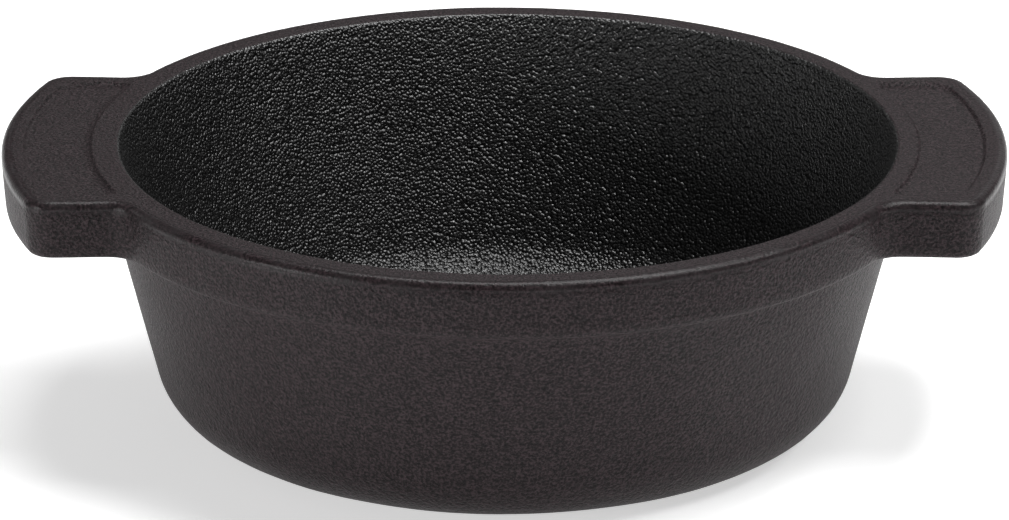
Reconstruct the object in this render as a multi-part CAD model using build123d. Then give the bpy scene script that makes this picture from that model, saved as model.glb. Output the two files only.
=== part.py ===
from build123d import *
import os
from math import radians, tan

os.makedirs("parts", exist_ok=True)

# Open cast iron dutch oven, 2 litres: one round casting with a thick collar at the rim and
# two tab handles. The casting is written out as its floor, base corner, wall, collar and handles,
# which meet face to face. Millimetres and degrees. The origin is the centre of the underside,
# +Z is up, and the handles point along X.

# Pot
HEIGHT = 78.5
GROUND_R = 93.0  # where the slope of the wall's outside would meet the ground
WALL_SLOPE = 14.2  # from the vertical, the same inside and out
BASE_CORNER = 19.3
FLOOR_T = 5.5
FLOOR_CORNER = 13.5

# Rim
RIM_R = 115.5
RIM_INNER_R = 106.7
RIM_INNER_ROUND = 1.2
CORE_SHIFT = 0.9  # the inside sits this far towards +X of the outside
COLLAR_H = 16.4
COLLAR_COVE = 4.7  # hollow round that fills the underside of the collar down to the wall
MOULD_DRAFT = 4.0
EDGE_ROUND = 2.4  # along the top of the rim and handles
UNDER_ROUND = 1.8  # along the lower edge of the collar and handles

# Handles
HANDLE_END_R = 138.5  # the ends are arcs about the pot's axis
HANDLE_HALF_W = 54.1  # at the end
HANDLE_ROOT_HALF_W = 52.8  # at the rim
HANDLE_CORNER = 8.3
HANDLE_ROOT_ROUND = 8.0

# Sunken panel in the top of each handle
PANEL_INNER_R = 114.0
PANEL_OUTER_R = 132.0
PANEL_HALF_W = 46.9
PANEL_CORNER = 5.5
PANEL_DEPTH = 0.9
PANEL_SLOPE_W = 1.6

# Where the casting is divided into its regions
FLAT_R = 76.5
CORNER_TOP = BASE_CORNER - 3.0
COLLAR_BOTTOM = HEIGHT - COLLAR_H - COLLAR_COVE
HANDLE_SEAT_R = 111.9
HANDLE_SEAT_ANGLE = 31.5  # each side of the X axis

ABOVE = 10.0  # how far a cutting solid reaches past what it cuts
TOUCH = 0.01  # heights closer than this are the same
SPREAD = tan(radians(WALL_SLOPE))


def cup(ground_r, bottom, top, corner):
    """A solid with a flat bottom, a rounded corner and a side that opens upwards."""
    foot = (ground_r + bottom * SPREAD, bottom)
    lip = (ground_r + top * SPREAD, top)
    half = make_face(Polyline((0, bottom), foot, lip, (0, top), close=True))
    half = fillet(half.vertices().sort_by_distance(foot)[0], corner)
    return revolve(Plane.XZ * half, Axis.Z)


def from_axis(point):
    """How far a point is from the pot's axis."""
    return Vector(point.X, point.Y, 0).length


def rim_plan():
    """The outline of the rim and both handles, seen from above."""
    root_x = (RIM_R**2 - HANDLE_ROOT_HALF_W**2) ** 0.5
    end_x = (HANDLE_END_R**2 - HANDLE_HALF_W**2) ** 0.5
    flare = (HANDLE_HALF_W - HANDLE_ROOT_HALF_W) / (end_x - root_x)
    reach = HANDLE_END_R + ABOVE
    near = HANDLE_ROOT_HALF_W - flare * root_x
    far = near + flare * reach
    blade = make_face(Polyline((0, -near), (reach, -far), (reach, far), (0, near), close=True))
    blade = blade & Circle(HANDLE_END_R)
    plan = Circle(RIM_R) + blade + mirror(blade, Plane.YZ)
    corners = [v for v in plan.vertices() if abs(v.Y) > HANDLE_ROOT_HALF_W - 1]
    roots = [v for v in corners if from_axis(v) < RIM_R + 1]
    plan = fillet(roots, HANDLE_ROOT_ROUND)
    ends = [v for v in plan.vertices() if abs(from_axis(v) - HANDLE_END_R) < 1]
    ends = [v for v in ends if abs(v.Y) > HANDLE_HALF_W - 1]
    return fillet(ends, HANDLE_CORNER)


def panel_cut():
    """What is taken out of the top of the +X handle: a shallow tray with sloping sides."""
    window = Pos(X=HANDLE_END_R / 2) * Rectangle(HANDLE_END_R, 2 * PANEL_HALF_W)
    tray = (Circle(PANEL_OUTER_R) - Circle(PANEL_INNER_R)) & window
    tray = fillet(tray.vertices(), PANEL_CORNER)
    low = Pos(Z=HEIGHT - PANEL_DEPTH) * offset(tray, -PANEL_SLOPE_W / 2)
    high = Pos(Z=HEIGHT + PANEL_DEPTH) * offset(tray, PANEL_SLOPE_W * 3 / 2)
    return loft([low.face(), high.face()], ruled=True)


def level_edges(shape, height):
    """The edges of a shape that lie level at one height."""
    level = [e for e in shape.edges() if e.bounding_box().size.Z < TOUCH]
    return [e for e in level if abs(e.center().Z - height) < TOUCH]


def reach_of(edge):
    """How far from the pot's axis an edge's furthest end is."""
    return max(from_axis(v) for v in edge.vertices())


def casting():
    """The whole pot in one solid, with every edge rounded as it leaves the mould."""
    underside = HEIGHT - COLLAR_H
    slab = Pos(Z=HEIGHT) * extrude(rim_plan(), -COLLAR_H, taper=MOULD_DRAFT)
    body = slab + cup(GROUND_R, 0, HEIGHT - COLLAR_H / 2, BASE_CORNER)
    wall_meets_slab = GROUND_R + underside * SPREAD + 1
    under = [e for e in level_edges(body, underside) if reach_of(e) > wall_meets_slab]
    body = fillet(under, UNDER_ROUND)
    body = fillet(level_edges(body, HEIGHT), EDGE_ROUND)
    cove = [e for e in level_edges(body, underside) if reach_of(e) < wall_meets_slab]
    body = fillet(cove, COLLAR_COVE)
    inside = cup(RIM_INNER_R - HEIGHT * SPREAD, FLOOR_T, HEIGHT + ABOVE, FLOOR_CORNER)
    body -= Pos(X=CORE_SHIFT) * inside
    mouth = [e for e in level_edges(body, HEIGHT) if reach_of(e) < RIM_INNER_R + 2 * CORE_SHIFT]
    body = fillet(mouth, RIM_INNER_ROUND)
    panel = panel_cut()
    return body - panel - mirror(panel, Plane.YZ)


def layer(bottom, top, radius=HANDLE_END_R + ABOVE):
    """All the space between two heights, out to a radius."""
    return Pos(Z=bottom) * extrude(Circle(radius), top - bottom)


def handle_space(turn):
    """All the space outside a handle's seat on the collar, for the handle at that turn."""
    width = HANDLE_END_R + ABOVE - HANDLE_SEAT_R
    height = HEIGHT + ABOVE - COLLAR_BOTTOM
    section = Pos(HANDLE_SEAT_R + width / 2, COLLAR_BOTTOM + height / 2) * Rectangle(width, height)
    sector = revolve(Plane.XZ * section, Axis.Z, revolution_arc=2 * HANDLE_SEAT_ANGLE)
    return Rot(Z=turn - HANDLE_SEAT_ANGLE) * sector


def write(name, shape):
    """Writes one region of the casting as its own solid."""
    solid = shape.solid()
    export_step(solid, f"parts/{name}.step")
    print(f"{name}: {solid.volume / 1000:.1f} cm3, valid {solid.is_valid}")


pot = casting()
right = handle_space(0)
left = handle_space(180)
print(f"whole casting: {pot.volume / 1000:.1f} cm3, {pot.bounding_box()}")

write("pot_floor", pot & layer(0, CORNER_TOP, FLAT_R))
write("base_corner", (pot & layer(0, CORNER_TOP)) - layer(0, CORNER_TOP, FLAT_R))
write("pot_wall", pot & layer(CORNER_TOP, COLLAR_BOTTOM))
write("rim_collar", (pot & layer(COLLAR_BOTTOM, HEIGHT)) - right - left)
write("handle_right", pot & right)
write("handle_left", pot & left)
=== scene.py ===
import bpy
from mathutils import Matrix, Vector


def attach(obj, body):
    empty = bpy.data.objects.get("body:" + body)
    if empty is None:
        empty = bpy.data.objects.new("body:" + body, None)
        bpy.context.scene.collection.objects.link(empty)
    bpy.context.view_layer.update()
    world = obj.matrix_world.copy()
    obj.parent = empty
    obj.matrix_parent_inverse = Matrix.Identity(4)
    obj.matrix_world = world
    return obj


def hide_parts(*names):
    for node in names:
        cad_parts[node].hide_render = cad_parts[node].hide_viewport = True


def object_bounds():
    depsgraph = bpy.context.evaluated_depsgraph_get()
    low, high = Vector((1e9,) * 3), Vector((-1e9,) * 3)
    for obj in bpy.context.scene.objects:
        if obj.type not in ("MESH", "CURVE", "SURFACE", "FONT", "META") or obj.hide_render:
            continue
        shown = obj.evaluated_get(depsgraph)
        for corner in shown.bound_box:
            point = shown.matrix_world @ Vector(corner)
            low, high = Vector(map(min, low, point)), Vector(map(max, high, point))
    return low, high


bl_info = {
    "name": "Cast iron dutch oven",
    "version": (1, 0, 0),
    "blender": (4, 5, 0),
    "location": "3D View > Sidebar > Dutch Oven",
    "description": "Casts an open iron pot with two tab handles and stands it in a pale studio",
    "category": "Add Mesh",
}

from math import atan2, cos, pi, radians, sin, sqrt, tan

import bpy
import numpy as np
from bpy.props import FloatProperty, FloatVectorProperty, PointerProperty
from mathutils import Vector, noise

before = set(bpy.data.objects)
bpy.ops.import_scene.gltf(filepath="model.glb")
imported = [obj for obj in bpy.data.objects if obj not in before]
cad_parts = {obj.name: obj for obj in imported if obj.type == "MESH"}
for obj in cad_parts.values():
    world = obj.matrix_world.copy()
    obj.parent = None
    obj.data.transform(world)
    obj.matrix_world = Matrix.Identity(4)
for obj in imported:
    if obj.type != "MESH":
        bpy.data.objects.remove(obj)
CAD_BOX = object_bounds()
HEIGHT = round(CAD_BOX[1].z, 4)

REGIONS = ("pot_floor", "base_corner", "pot_wall", "rim_collar", "handle_right", "handle_left")
BODY = "root"

# How many points or rings each stretch of the casting takes.
TIP_STEPS, CORNER_STEPS, SIDE_STEPS, ROOT_STEPS, RIM_STEPS = 41, 13, 11, 9, 70
UNDERSIDE_RINGS, BASE_CORNER_RINGS, WALL_RINGS, COVE_RINGS, LEDGE_RINGS = 14, 15, 19, 11, 9
UNDER_ROUND_RINGS, COLLAR_RINGS, EDGE_RINGS, MOUTH_RINGS = 5, 9, 9, 5
TOP_RINGS = (3, 11, 8, 11, 4)  # edge, panel's outer side, panel, panel's inner side, mouth
INNER_WALL_RINGS, FLOOR_CORNER_RINGS, FLOOR_RINGS = 27, 13, 16
WIDE_RING = 0.12  # a ring of less than half this radius takes fewer points

# The slow waves of the casting's surface: length of the wave, share of the depth.
WAVES = ((0.034, 1.0), (0.011, 0.42), (0.0048, 0.22))

# Patches, rubbed smears and oil marks to the metre.
PATCHES, SMEARS, OIL_MARKS = 22.0, 90.0, 30.0
PITS_PER_GRAIN = 0.55  # pits of the cast skin for each grain of sand, along a line
LUMPS_PER_PEBBLE = 0.5  # broad lumps inside for each pebble, along a line

SENSOR_WIDTH = 36.0  # millimetres
FLOOR_REACH = 6.0
LIGHTS_AIM = (0, 0, 0.05)

# Where each softbox hangs, its width and its height, by the name of its power.
SOFTBOXES = {
    "overhead": ((0.1, 0.3, 1.4), 0.9, 0.7),
    "right": ((0.85, -0.15, 1.0), 0.4, 0.4),
    "strip": ((0.48, -0.15, 1.38), 0.6, 0.2),
    "left_front": ((-1.1, -0.7, 0.2), 0.4, 0.3),
    "left_back": ((-0.9, 0.6, 0.35), 0.5, 0.4),
    "back_low": ((0.3, 1.4, 0.5), 1.2, 0.4),
}


# ---------------------------------------------------------------- sizes and colours


def length(name, description, default):
    return FloatProperty(
        name=name, description=description, default=default, min=0.0, precision=4,
        subtype="DISTANCE", unit="LENGTH",
    )


def angle(name, description, degrees):
    return FloatProperty(
        name=name, description=description, default=radians(degrees),
        subtype="ANGLE", unit="ROTATION",
    )


def factor(name, description, default, top=1.0):
    return FloatProperty(
        name=name, description=description, default=default, min=0.0, max=top, precision=3,
    )


def power(name, description, default):
    return FloatProperty(
        name=name, description=description, default=default, min=0.0, precision=1, unit="POWER",
    )


def colour(name, description, default):
    return FloatVectorProperty(
        name=name, description=description, default=default, size=3, min=0.0, max=1.0,
        subtype="COLOR",
    )


class PotSizes(bpy.types.PropertyGroup):
    height: length("Height", "Underside to the top of the rim", HEIGHT)
    ground_radius: length("Ground radius", "Where the wall's slope would meet the ground", 0.093)
    wall_slope: angle("Wall slope", "Slope of the wall from the vertical", 14.2)
    base_corner: length("Base corner", "Radius between the wall and the underside", 0.0193)
    floor_thickness: length("Floor", "Thickness of the floor", 0.0055)
    floor_corner: length("Floor corner", "Radius between the floor and the wall inside", 0.0135)
    rim_radius: length("Rim radius", "Outside of the rim", 0.1155)
    rim_inner_radius: length("Mouth radius", "Inside of the rim", 0.1067)
    rim_inner_round: length("Mouth round", "Radius on the inner edge of the rim", 0.0012)
    core_shift: length("Core shift", "How far the inside sits towards +X of the outside", 0.0009)
    collar_height: length("Collar height", "Height of the thick band under the rim", 0.0164)
    collar_cove: length("Collar cove", "Hollow radius under the collar", 0.0047)
    mould_draft: angle("Draft", "Slope that lets the collar leave the mould", 4.0)
    edge_round: length("Edge round", "Radius along the top of the rim and handles", 0.0024)
    under_round: length("Under round", "Radius along the collar's and handles' lower edge", 0.0018)


class HandleSizes(bpy.types.PropertyGroup):
    end_radius: length("End radius", "Arc of the handle's end about the pot's axis", 0.1385)
    half_width: length("Half width", "Half the handle's width at its end", 0.0541)
    root_half_width: length("Root half width", "Half the handle's width at the rim", 0.0528)
    corner: length("Corner", "Radius of the handle's corners, from above", 0.0083)
    root_round: length("Root round", "Hollow radius where the handle leaves the rim", 0.008)
    panel_inner: length("Panel inside", "Inner arc of the sunken panel", 0.114)
    panel_outer: length("Panel outside", "Outer arc of the sunken panel", 0.132)
    panel_half_width: length("Panel half width", "Half the width of the sunken panel", 0.0469)
    panel_corner: length("Panel corner", "Radius of the panel's corners", 0.0055)
    panel_depth: length("Panel depth", "Depth of the sunken panel", 0.0009)
    panel_slope: length("Panel slope", "Width of the slope round the panel", 0.0016)


class IronFinish(bpy.types.PropertyGroup):
    outside: colour("Outside", "Seasoned iron outside and on the rim", (0.0111, 0.0075, 0.0084))
    inside: colour("Inside", "Darker seasoning inside the pot", (0.0040, 0.0038, 0.0040))
    edge_roughness: factor("Edge roughness", "Satin of the edges that hands and cloths rub", 0.32)
    # Rubbed iron along the edges, partly real wear and partly a painted highlight along the rounded rim
    # and handle edges.
    worn_edge_and_highlight: colour("Worn edge", "Iron rubbed along the edges", (0.024, 0.021, 0.022))
    outside_roughness: factor("Outside roughness", "Satin of the outside", 0.50)
    inside_roughness: factor("Inside roughness", "Gloss of the oiled inside", 0.34)
    outside_specular: factor("Outside sheen", "Strength of the outside's reflection", 0.17)
    inside_specular: factor("Inside sheen", "Strength of the inside's reflection", 0.78)
    sand_size: length("Sand size", "Size of the fine cast grain outside", 0.00072)
    sand_depth: length("Sand depth", "Depth of the fine cast grain", 0.00045)
    # Painted glint: the tops of the outside's grain are coloured lighter, as if they caught the light.
    painted_sand_glint: factor("Sand glint", "How much lighter the tops of the grain are", 3.6, 6.0)
    # Painted shade: the bottoms of the outside's grain are coloured darker.
    painted_sand_shade: factor("Sand shade", "How much of its colour the bottom of the grain keeps", 0.25)
    pebble_size: length("Pebble size", "Size of the coarse cast grain inside", 0.00084)
    pebble_depth: length("Pebble depth", "Depth of the coarse cast grain", 0.00055)
    pebble_melt: factor("Pebble melt", "How far neighbouring pebbles run together", 0.3)
    pebble_lumps: factor("Pebble lumps", "Share of broader lumps under the pebbles", 0.3)
    swell: length("Swell", "Depth of the long waves of a sand casting", 0.00012)


class StudioSettings(bpy.types.PropertyGroup):
    floor: colour("Floor", "Pale floor", (0.92, 0.92, 0.92))
    floor_glow: factor("Floor glow", "Light that comes up through the table", 0.55, 5.0)
    sky: factor("Sky", "Strength of the room's even light", 0.09, 10.0)
    overhead: power("Overhead", "Large softbox above the pot", 15.0)
    right: power("Right", "Small softbox at the right that makes the pebbles glint", 5.0)
    strip: power("Strip", "Long softbox high at the right that lines the edges", 7.5)
    left_front: power("Left front", "Low softbox at the left, towards the front", 5.0)
    left_back: power("Left back", "Low softbox behind the pot's left", 0.5)
    back_low: power("Back low", "Wide low softbox behind the pot", 1.0)
    camera_lens: FloatProperty(
        name="Lens", description="Focal length in millimetres", default=267.5917, min=1.0, precision=2,
    )
    camera_rise: angle("Camera rise", "Camera's angle above the horizon", 20.346)
    camera_distance: length("Camera distance", "Camera to what it looks at", 2.0775)
    camera_height: length("Aim height", "Height of the point the camera looks at", 0.04255)


# ---------------------------------------------------------------- the casting's outline


def on_line_at(start, along, reach):
    """The point of a line, past its start, that is a given distance from the pot's axis."""
    b = start.dot(along)
    return start + along * (-b + sqrt(b * b - start.dot(start) + reach * reach))


def arc_points(centre, radius, first, last, count, hollow=False):
    """Points and outward normals along an arc, leaving out its last point."""
    turn = np.linspace(first, last, count, endpoint=False)
    out = np.stack([np.cos(turn), np.sin(turn)], axis=1)
    return np.array(centre) + radius * out, -out if hollow else out


def quarter_outline(pot, handle):
    """The rim's edge from the +X handle's tip to the +Y side: points and outward normals."""
    root_x = sqrt(pot.rim_radius**2 - handle.root_half_width**2)
    end_x = sqrt(handle.end_radius**2 - handle.half_width**2)
    root = Vector((root_x, handle.root_half_width))
    along = (Vector((end_x, handle.half_width)) - root).normalized()
    out = Vector((-along.y, along.x))
    start = root - along * root.dot(along)
    tip = on_line_at(start - out * handle.corner, along, handle.end_radius - handle.corner)
    hollow = on_line_at(start + out * handle.root_round, along, pot.rim_radius + handle.root_round)
    tip_turn = atan2(tip.y, tip.x)
    side_turn = atan2(out.y, out.x)
    hollow_turn = atan2(hollow.y, hollow.x)
    side_from = tip + out * handle.corner
    side_to = hollow - out * handle.root_round
    steps = np.linspace(0, 1, SIDE_STEPS, endpoint=False)[:, None]
    side = np.array(side_from) * (1 - steps) + np.array(side_to) * steps
    side_out = np.tile(np.array(out), (len(side), 1))
    pieces = (
        arc_points((0, 0), handle.end_radius, 0, tip_turn, TIP_STEPS),
        arc_points(tip, handle.corner, tip_turn, side_turn, CORNER_STEPS),
        (side, side_out),
        arc_points(hollow, handle.root_round, side_turn - pi, hollow_turn - pi, ROOT_STEPS, hollow=True),
        arc_points((0, 0), pot.rim_radius, hollow_turn, pi / 2, RIM_STEPS),
    )
    return np.concatenate([p for p, _ in pieces]), np.concatenate([n for _, n in pieces])


def rim_outline(pot, handle):
    """The whole edge of the rim and handles, anticlockwise from the +X handle's tip."""
    points, normals = quarter_outline(pot, handle)
    flip_x, flip_y = np.array([-1, 1]), np.array([1, -1])
    top = np.array([[0, pot.rim_radius]])
    up = np.array([[0, 1.0]])

    def half(quarter, middle):
        back = quarter[:0:-1] * flip_x
        return np.concatenate([quarter, middle, back, quarter[:1] * flip_x])

    upper, upper_out = half(points, top), half(normals, up)
    lower, lower_out = upper[-2:0:-1] * flip_y, upper_out[-2:0:-1] * flip_y
    return np.concatenate([upper, lower]), np.concatenate([upper_out, lower_out])


# ---------------------------------------------------------------- the casting's surface


def smooth_step(x):
    x = np.clip(x, 0, 1)
    return x * x * x * (x * (6 * x - 15) + 10)


def panel_drop(points, handle):
    """How far the handle's top lies below the rim at each point: the sunken panel."""
    reach = np.hypot(points[:, 0], points[:, 1])
    walls = np.stack([
        handle.panel_outer - reach,
        reach - handle.panel_inner,
        handle.panel_half_width - np.abs(points[:, 1]),
    ])
    shortfall = np.maximum(handle.panel_corner - walls, 0)
    inside = handle.panel_corner - np.sqrt((shortfall**2).sum(axis=0))
    return handle.panel_depth * smooth_step(inside / handle.panel_slope + 0.5)


def top_shares(handle, start, end):
    """Where the rings over the rim's top lie, from its edge to its mouth: close over the panel's sides."""
    half_slope = handle.panel_slope * 0.6
    stops = (start, handle.panel_outer + half_slope, handle.panel_outer - half_slope,
             handle.panel_inner + half_slope, handle.panel_inner - half_slope, end)
    shares = [
        np.linspace(first, last, count + 1)[1:]
        for first, last, count in zip(stops, stops[1:], TOP_RINGS)
    ]
    return (start - np.concatenate(shares)) / (start - end)


class Rings:
    """Closed loops of points that run over the casting, from the underside's middle to the floor's."""

    def __init__(self, outline, outline_out, pot):
        self.outline, self.out, self.pot = outline, outline_out, pot
        reach = np.hypot(outline[:, 0], outline[:, 1])
        self.ray = outline / reach[:, None]
        self.loops, self.inside, self.edge = [], [], []

    def add(self, flat, height, inside=0.0, edge=0.0):
        height = np.broadcast_to(height, (len(flat),))
        self.loops.append(np.column_stack([flat, height]))
        self.inside.append(inside)
        self.edge.append(edge)

    def round_loop(self, radius, height, **marks):
        self.add(self.ray * radius, height, **marks)

    def inner_loop(self, radius, height, **marks):
        """A round loop of the pot's inside, which sits a little to one side of the outside."""
        self.add(self.ray * radius + (self.pot.core_shift, 0), height, **marks)

    def edge_loop(self, inset, height, **marks):
        """A loop set in from the outline, which slopes in towards the collar's underside."""
        drafted = inset + (self.pot.height - height) * tan(self.pot.mould_draft)
        self.add(self.outline - self.out * drafted, height, **marks)


def corner_arc(pot, radius, bottom, ground_radius, count):
    """(radius, height) along the round between a level floor and the sloping wall."""
    spread = tan(pot.wall_slope)
    middle_height = bottom + radius
    middle = ground_radius + middle_height * spread - radius / cos(pot.wall_slope)
    for turn in np.linspace(-pi / 2, -pot.wall_slope, count):
        yield middle + radius * cos(turn), middle_height + radius * sin(turn)


def pot_rings(pot, handle):
    """The casting's surface as rings, underside first."""
    outline, out = rim_outline(pot, handle)
    rings = Rings(outline, out, pot)
    spread = tan(pot.wall_slope)
    underside = pot.height - pot.collar_height

    outer_corner = list(corner_arc(pot, pot.base_corner, 0, pot.ground_radius, BASE_CORNER_RINGS))
    for radius in np.linspace(0, outer_corner[0][0], UNDERSIDE_RINGS)[1:-1]:
        rings.round_loop(radius, 0)
    for radius, height in outer_corner:
        rings.round_loop(radius, height)

    cove = pot.collar_cove
    cove_middle_height = underside - cove
    cove_middle = pot.ground_radius + cove_middle_height * spread + cove / cos(pot.wall_slope)
    wall_top = cove_middle_height + cove * sin(pot.wall_slope)
    for height in np.linspace(outer_corner[-1][1], wall_top, WALL_RINGS)[1:-1]:
        rings.round_loop(pot.ground_radius + height * spread, height)
    for turn in np.linspace(pi - pot.wall_slope, pi / 2, COVE_RINGS):
        rings.round_loop(cove_middle + cove * cos(turn), cove_middle_height + cove * sin(turn))

    under = pot.under_round
    cove_end = rings.loops[-1][:, :2]
    under_end = outline - out * (under + pot.collar_height * tan(pot.mould_draft))
    for share in np.linspace(0, 1, LEDGE_RINGS)[1:-1]:
        rings.add(cove_end * (1 - share) + under_end * share, underside)
    for turn in np.linspace(-pi / 2, 0, UNDER_ROUND_RINGS):
        rings.edge_loop(under * (1 - cos(turn)), underside + under * (1 + sin(turn)), edge=0.15)
    edge = pot.edge_round
    for height in np.linspace(underside + under, pot.height - edge, COLLAR_RINGS)[1:-1]:
        rings.edge_loop(0, height)
    for turn in np.linspace(0, pi / 2, EDGE_RINGS):
        rings.edge_loop(edge * (1 - cos(turn)), pot.height - edge * (1 - sin(turn)), edge=1.0)

    mouth = pot.rim_inner_radius + pot.rim_inner_round
    top_outer = rings.loops[-1][:, :2]
    top_inner = rings.ray * mouth + (pot.core_shift, 0)
    for share in top_shares(handle, handle.end_radius - edge, mouth):
        flat = top_outer * (1 - share) + top_inner * share
        rings.add(flat, pot.height - panel_drop(flat, handle))
    for turn in np.linspace(pi / 2, pi, MOUTH_RINGS)[1:]:
        radius = mouth + pot.rim_inner_round * cos(turn)
        height = pot.height - pot.rim_inner_round * (1 - sin(turn))
        rings.inner_loop(radius, height, inside=max(0.0, -cos(turn)), edge=0.5)

    inner_ground = pot.rim_inner_radius - pot.height * spread
    inner_corner = list(
        corner_arc(pot, pot.floor_corner, pot.floor_thickness, inner_ground, FLOOR_CORNER_RINGS)
    )
    wall_from = pot.height - pot.rim_inner_round
    for height in np.linspace(wall_from, inner_corner[-1][1], INNER_WALL_RINGS)[1:-1]:
        rings.inner_loop(inner_ground + height * spread, height, inside=1.0)
    for radius, height in reversed(inner_corner):
        rings.inner_loop(radius, height, inside=1.0)
    for radius in np.linspace(inner_corner[0][0], 0, FLOOR_RINGS)[1:-1]:
        rings.inner_loop(radius, pot.floor_thickness, inside=1.0)
    return rings


def thin_out(count, radius, full_radius):
    """How many points a small ring near the axis needs: half as many each time it is half as wide."""
    while radius < full_radius * 0.5 and count % 2 == 0:
        count //= 2
        radius *= 2
    return count


def casting_mesh(name, rings):
    """Joins the rings into one closed surface, with fewer points in the small rings."""
    pot = rings.pot
    verts, faces, inside, edge, starts = [], [], [], [], []
    full = len(rings.outline)
    for loop, loop_inside, loop_edge in zip(rings.loops, rings.inside, rings.edge):
        keep = thin_out(full, np.ptp(loop[:, 1]) / 2, WIDE_RING)
        starts.append((sum(len(v) for v in verts), keep))
        verts.append(loop[:: full // keep])
        inside += [loop_inside] * keep
        edge += [loop_edge] * keep
    for (low, low_count), (high, high_count) in zip(starts, starts[1:]):
        faces += ring_faces(low, low_count, high, high_count)
    bottom, bottom_count = starts[0]
    top, top_count = starts[-1]
    total = sum(len(v) for v in verts)
    verts.append(np.array([[0, 0, 0], [pot.core_shift, 0, pot.floor_thickness]]))
    inside += [0.0, 1.0]
    edge += [0.0, 0.0]
    for i in range(bottom_count):
        faces.append((total, bottom + (i + 1) % bottom_count, bottom + i))
    for i in range(top_count):
        faces.append((total + 1, top + i, top + (i + 1) % top_count))
    mesh = bpy.data.meshes.new(name)
    mesh.from_pydata(np.concatenate(verts).tolist(), [], faces)
    for label, values in (("inside", inside), ("edge", edge)):
        layer = mesh.attributes.new(label, "FLOAT", "POINT")
        layer.data.foreach_set("value", values)
    is_inside = [all(inside[corner] > 0 for corner in face) for face in faces]
    mesh.polygons.foreach_set("material_index", is_inside)
    mesh.update()
    mesh.shade_smooth()
    return mesh


def ring_faces(low, low_count, high, high_count):
    """Faces between two rings, where one may have half as many points as the other."""
    if low_count == high_count:
        n = low_count
        return [(low + i, low + (i + 1) % n, high + (i + 1) % n, high + i) for i in range(n)]
    few, many = min(low_count, high_count), max(low_count, high_count)
    small, large = (low, high) if low_count < high_count else (high, low)
    made = []
    for i in range(few):
        a, b = small + i, small + (i + 1) % few
        c, d, e = (large + (2 * i + k) % many for k in range(3))
        made += [(a, b, d), (a, d, c), (b, e, d)]
    if small == high:
        made = [tuple(reversed(face)) for face in made]
    return made


def add_swell(mesh, depth):
    """Moves the surface in and out by the slow, shallow waves that a sand mould leaves."""
    count = len(mesh.vertices)
    places, normals = np.empty(count * 3), np.empty(count * 3)
    mesh.vertices.foreach_get("co", places)
    mesh.vertices.foreach_get("normal", normals)
    places, normals = places.reshape(-1, 3), normals.reshape(-1, 3)
    lift = np.zeros(count)
    for size, share in WAVES:
        scaled = places / size
        lift += share * np.array([noise.noise(Vector(p)) for p in scaled.tolist()])
    places = places + normals * (depth * lift)[:, None]
    places[:, 2] = np.maximum(places[:, 2], 0)
    mesh.vertices.foreach_set("co", places.ravel())
    mesh.update()


# ---------------------------------------------------------------- materials


class Nodes:
    """Adds nodes to a material and wires them as they are made."""

    def __init__(self, material):
        self.tree = material.node_tree

    def add(self, kind, settings=None, **inputs):
        node = self.tree.nodes.new(kind)
        for key, value in (settings or {}).items():
            setattr(node, key, value)
        for key, value in inputs.items():
            self.put(node.inputs[key.replace("_", " ")], value)
        return node

    def put(self, socket, value):
        if isinstance(value, bpy.types.NodeSocket):
            self.tree.links.new(value, socket)
        elif isinstance(value, bpy.types.Node):
            self.tree.links.new(value.outputs[0], socket)
        else:
            socket.default_value = value

    def math(self, how, first, second=0.0, third=0.0):
        node = self.add("ShaderNodeMath", {"operation": how})
        for socket, value in zip(node.inputs, (first, second, third)):
            self.put(socket, value)
        return node

    def spread(self, value, low, high, to_low=0.0, to_high=1.0):
        """Maps a value from one range to another and holds it there."""
        return self.add(
            "ShaderNodeMapRange", {"clamp": True}, Value=value, From_Min=low, From_Max=high,
            To_Min=to_low, To_Max=to_high,
        )

    def blend(self, share, first, second, how="MIX"):
        node = self.add("ShaderNodeMix", {"data_type": "RGBA", "blend_type": how})
        for index, value in ((0, share), (6, first), (7, second)):
            if index > 0 and isinstance(value, (tuple, list)) and len(value) == 3:
                value = (*value, 1.0)
            self.put(node.inputs[index], value)
        return node.outputs[2]


def shader_of(material):
    return next(n for n in material.node_tree.nodes if n.type == "BSDF_PRINCIPLED")


def tinted(tint, share):
    return tuple(min(c * share, 1.0) for c in tint)


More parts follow.
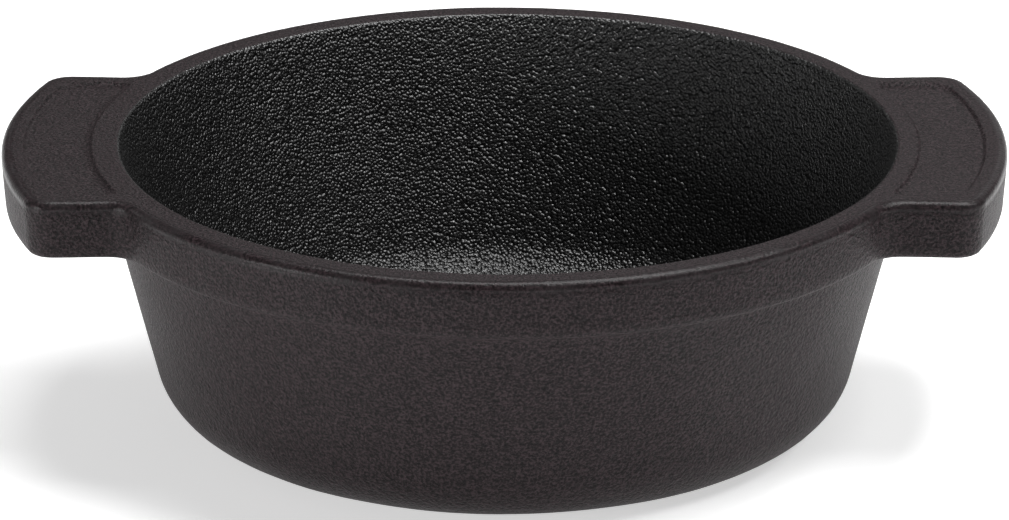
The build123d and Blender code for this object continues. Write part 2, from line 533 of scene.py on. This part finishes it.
def outside_material(finish):
    """Seasoned iron with the fine grain of moulding sand, thin and rubbed along the edges; its colour also
    carries painted glints and shade on the grain and a painted highlight along the edges.
    """
    material = bpy.data.materials.new("seasoned_iron_outside")
    material.use_nodes = True
    nodes, shader = Nodes(material), shader_of(material)
    place = nodes.add("ShaderNodeTexCoord").outputs["Object"]
    edge = nodes.add("ShaderNodeAttribute", {"attribute_name": "edge"}).outputs["Fac"]
    sand = nodes.add(
        "ShaderNodeTexNoise", Vector=place, Scale=1 / finish.sand_size, Detail=2.0, Roughness=0.62
    ).outputs[0]
    pits = nodes.add(
        "ShaderNodeTexVoronoi", {"feature": "SMOOTH_F1"}, Vector=place,
        Scale=PITS_PER_GRAIN / finish.sand_size, Smoothness=0.4,
    ).outputs["Distance"]
    patches = nodes.add(
        "ShaderNodeTexNoise", Vector=place, Scale=PATCHES, Detail=4.0, Roughness=0.55
    ).outputs[0]
    smears = nodes.add("ShaderNodeTexNoise", Vector=place, Scale=SMEARS, Detail=3.0).outputs[0]

    tint = finish.outside
    hue = nodes.blend(nodes.spread(patches, 0.35, 0.65), tinted(tint, 0.9), tinted(tint, 1.1))
    # Painted glints: the tops of the sand grain are coloured lighter.
    hue = nodes.blend(nodes.spread(sand, 0.46, 0.66), hue, tinted(tint, finish.painted_sand_glint))
    # Painted shade: the bottoms of the sand grain are coloured darker.
    hue = nodes.blend(nodes.spread(sand, 0.48, 0.34), hue, tinted(tint, finish.painted_sand_shade))
    # Real wear and a painted highlight: the rounded edges are coloured lighter, broken up by smears.
    wear_and_highlight = nodes.math("MULTIPLY", edge, nodes.spread(smears, 0.35, 0.7))
    hue = nodes.blend(nodes.math("MULTIPLY", wear_and_highlight, 0.7), hue, tuple(finish.worn_edge_and_highlight))
    nodes.put(shader.inputs["Base Color"], hue)

    satin = finish.outside_roughness
    satin = nodes.spread(patches, 0.3, 0.7, satin - 0.05, satin + 0.06)
    nodes.put(shader.inputs["Roughness"], nodes.spread(edge, 0, 1, satin, finish.edge_roughness))
    shader.inputs["Specular IOR Level"].default_value = finish.outside_specular

    relief = nodes.math("MULTIPLY_ADD", pits, 0.6, sand)
    calm = nodes.math("MULTIPLY_ADD", edge, -0.75, 1.0)
    relief = nodes.math("MULTIPLY", relief, calm)
    bump = nodes.add("ShaderNodeBump", Height=relief, Distance=finish.sand_depth, Strength=1.0)
    nodes.put(shader.inputs["Normal"], bump)
    return material


def inside_material(finish):
    """Oiled black iron over the coarse pebbled skin that the core leaves inside the pot, with painted
    shade in the crevices between the pebbles.
    """
    material = bpy.data.materials.new("seasoned_iron_inside")
    material.use_nodes = True
    nodes, shader = Nodes(material), shader_of(material)
    place = nodes.add("ShaderNodeTexCoord").outputs["Object"]
    inside = nodes.add("ShaderNodeAttribute", {"attribute_name": "inside"}).outputs["Fac"]
    fall = nodes.add(
        "ShaderNodeTexVoronoi", {"feature": "SMOOTH_F1"}, Vector=place,
        Scale=1 / finish.pebble_size, Smoothness=finish.pebble_melt, Randomness=1.0,
    ).outputs["Distance"]
    lumps = nodes.add(
        "ShaderNodeTexNoise", Vector=place, Scale=LUMPS_PER_PEBBLE / finish.pebble_size, Detail=1.0
    ).outputs[0]
    marks = nodes.add("ShaderNodeTexNoise", Vector=place, Scale=OIL_MARKS, Detail=3.0).outputs[0]

    tint = finish.inside
    hue = nodes.blend(nodes.spread(marks, 0.35, 0.65), tinted(tint, 0.8), tinted(tint, 1.2))
    # Painted shade: the crevices between the pebbles are coloured darker.
    hue = nodes.blend(nodes.spread(fall, 0.2, 0.7), hue, tinted(tint, 0.45))
    nodes.put(shader.inputs["Base Color"], hue)
    gloss = finish.inside_roughness
    nodes.put(shader.inputs["Roughness"], nodes.spread(lumps, 0.3, 0.7, gloss - 0.05, gloss + 0.07))
    shader.inputs["Specular IOR Level"].default_value = finish.inside_specular

    domes = nodes.math("MULTIPLY", fall, fall)
    lumps = nodes.math("MULTIPLY", lumps, finish.pebble_lumps)
    relief = nodes.math("MULTIPLY", nodes.math("SUBTRACT", lumps, domes), inside)
    bump = nodes.add("ShaderNodeBump", Height=relief, Distance=finish.pebble_depth, Strength=1.0)
    nodes.put(shader.inputs["Normal"], bump)
    return material


# ---------------------------------------------------------------- operators


def show(obj):
    bpy.context.scene.collection.objects.link(obj)
    return obj


class DUTCHOVEN_OT_cast_pot(bpy.types.Operator):
    """Cast the pot in one piece: floor, wall, rim collar and both tab handles"""

    bl_idname = "dutch_oven.cast_pot"
    bl_label = "Cast Pot"

    def execute(self, context):
        scene = context.scene
        rings = pot_rings(scene.pot_sizes, scene.handle_sizes)
        mesh = casting_mesh("pot_casting", rings)
        add_swell(mesh, scene.iron_finish.swell)
        mesh.materials.append(outside_material(scene.iron_finish))
        mesh.materials.append(inside_material(scene.iron_finish))
        pot = show(bpy.data.objects.new("pot_casting", mesh))
        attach(pot, BODY)
        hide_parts(*REGIONS)
        return {"FINISHED"}


def floor_material(tint, glow):
    """A pale light table, with the faintest mottling."""
    material = bpy.data.materials.new("studio_floor")
    material.use_nodes = True
    nodes = Nodes(material)
    shader = shader_of(material)
    place = nodes.add("ShaderNodeTexCoord").outputs["Object"]
    cloud = nodes.add("ShaderNodeTexNoise", Vector=place, Scale=3.0, Detail=2.0)
    tone = nodes.blend(cloud.outputs[0], tuple(c * 0.99 for c in tint), tuple(tint))
    nodes.put(shader.inputs["Base Color"], tone)
    shader.inputs["Emission Color"].default_value = (1, 1, 1, 1)
    shader.inputs["Emission Strength"].default_value = glow
    shader.inputs["Roughness"].default_value = 0.9
    shader.inputs["Specular IOR Level"].default_value = 0.1
    return material


def softbox(name, place, aim, width, height, power):
    """A rectangular soft light that faces a point."""
    lamp = bpy.data.lights.new(name, "AREA")
    lamp.shape = "RECTANGLE"
    lamp.size, lamp.size_y = width, height
    lamp.energy = power
    obj = show(bpy.data.objects.new(name, lamp))
    obj.location = place
    obj.rotation_euler = (Vector(aim) - Vector(place)).to_track_quat("-Z", "Y").to_euler()
    return obj


class DUTCHOVEN_OT_set_stage(bpy.types.Operator):
    """Lay the pale floor, hang the softboxes and aim the camera"""

    bl_idname = "dutch_oven.set_stage"
    bl_label = "Set Stage"

    def execute(self, context):
        studio = context.scene.studio_settings
        self.lay_floor(studio)
        self.hang_lights(context.scene, studio)
        self.aim_camera(context.scene, studio)
        return {"FINISHED"}

    def lay_floor(self, studio):
        far = FLOOR_REACH
        corners = [(-far, -far, 0), (far, -far, 0), (far, far, 0), (-far, far, 0)]
        mesh = bpy.data.meshes.new("studio_floor")
        mesh.from_pydata(corners, [], [(0, 1, 2, 3)])
        mesh.materials.append(floor_material(studio.floor, studio.floor_glow))
        show(bpy.data.objects.new("studio_floor", mesh))

    def hang_lights(self, scene, studio):
        for name, (place, width, height) in SOFTBOXES.items():
            softbox(f"{name}_softbox", place, LIGHTS_AIM, width, height, getattr(studio, name))
        world = bpy.data.worlds.new("studio_room")
        world.use_nodes = True
        world.node_tree.nodes["Background"].inputs["Strength"].default_value = studio.sky
        world.node_tree.nodes["Background"].inputs["Color"].default_value = (1, 1, 1, 1)
        scene.world = world

    def aim_camera(self, scene, studio):
        rise, distance = studio.camera_rise, studio.camera_distance
        camera = bpy.data.cameras.new("camera")
        camera.sensor_width = SENSOR_WIDTH
        camera.lens = studio.camera_lens
        camera.clip_end = 50.0
        obj = show(bpy.data.objects.new("camera", camera))
        aim = Vector((0, 0, studio.camera_height))
        obj.location = aim + Vector((0, -cos(rise), sin(rise))) * distance
        obj.rotation_euler = (pi / 2 - rise, 0, 0)
        scene.camera = obj
        scene.view_settings.view_transform = "Standard"


class DUTCHOVEN_PT_sidebar(bpy.types.Panel):
    """Sizes, finish and light of the dutch oven"""

    bl_idname = "DUTCHOVEN_PT_sidebar"
    bl_label = "Cast Iron Dutch Oven"
    bl_space_type = "VIEW_3D"
    bl_region_type = "UI"
    bl_category = "Dutch Oven"

    def draw(self, context):
        for group_name, _, title in GROUPS:
            box = self.layout.box()
            box.label(text=title)
            group = getattr(context.scene, group_name)
            for key in group.__annotations__:
                box.prop(group, key)
        for maker in MAKERS:
            self.layout.operator(maker.bl_idname)


GROUPS = (
    ("pot_sizes", PotSizes, "Pot"),
    ("handle_sizes", HandleSizes, "Handles"),
    ("iron_finish", IronFinish, "Iron"),
    ("studio_settings", StudioSettings, "Studio"),
)
MAKERS = (DUTCHOVEN_OT_cast_pot, DUTCHOVEN_OT_set_stage)


def register():
    for group_name, group, _ in GROUPS:
        bpy.utils.register_class(group)
        setattr(bpy.types.Scene, group_name, PointerProperty(type=group))
    for maker in MAKERS:
        bpy.utils.register_class(maker)
    bpy.utils.register_class(DUTCHOVEN_PT_sidebar)


def unregister():
    bpy.utils.unregister_class(DUTCHOVEN_PT_sidebar)
    for maker in reversed(MAKERS):
        bpy.utils.unregister_class(maker)
    for group_name, group, _ in reversed(GROUPS):
        delattr(bpy.types.Scene, group_name)
        bpy.utils.unregister_class(group)


def main():
    register()
    bpy.ops.dutch_oven.cast_pot()
    bpy.ops.dutch_oven.set_stage()


if __name__ == "__main__":
    main()
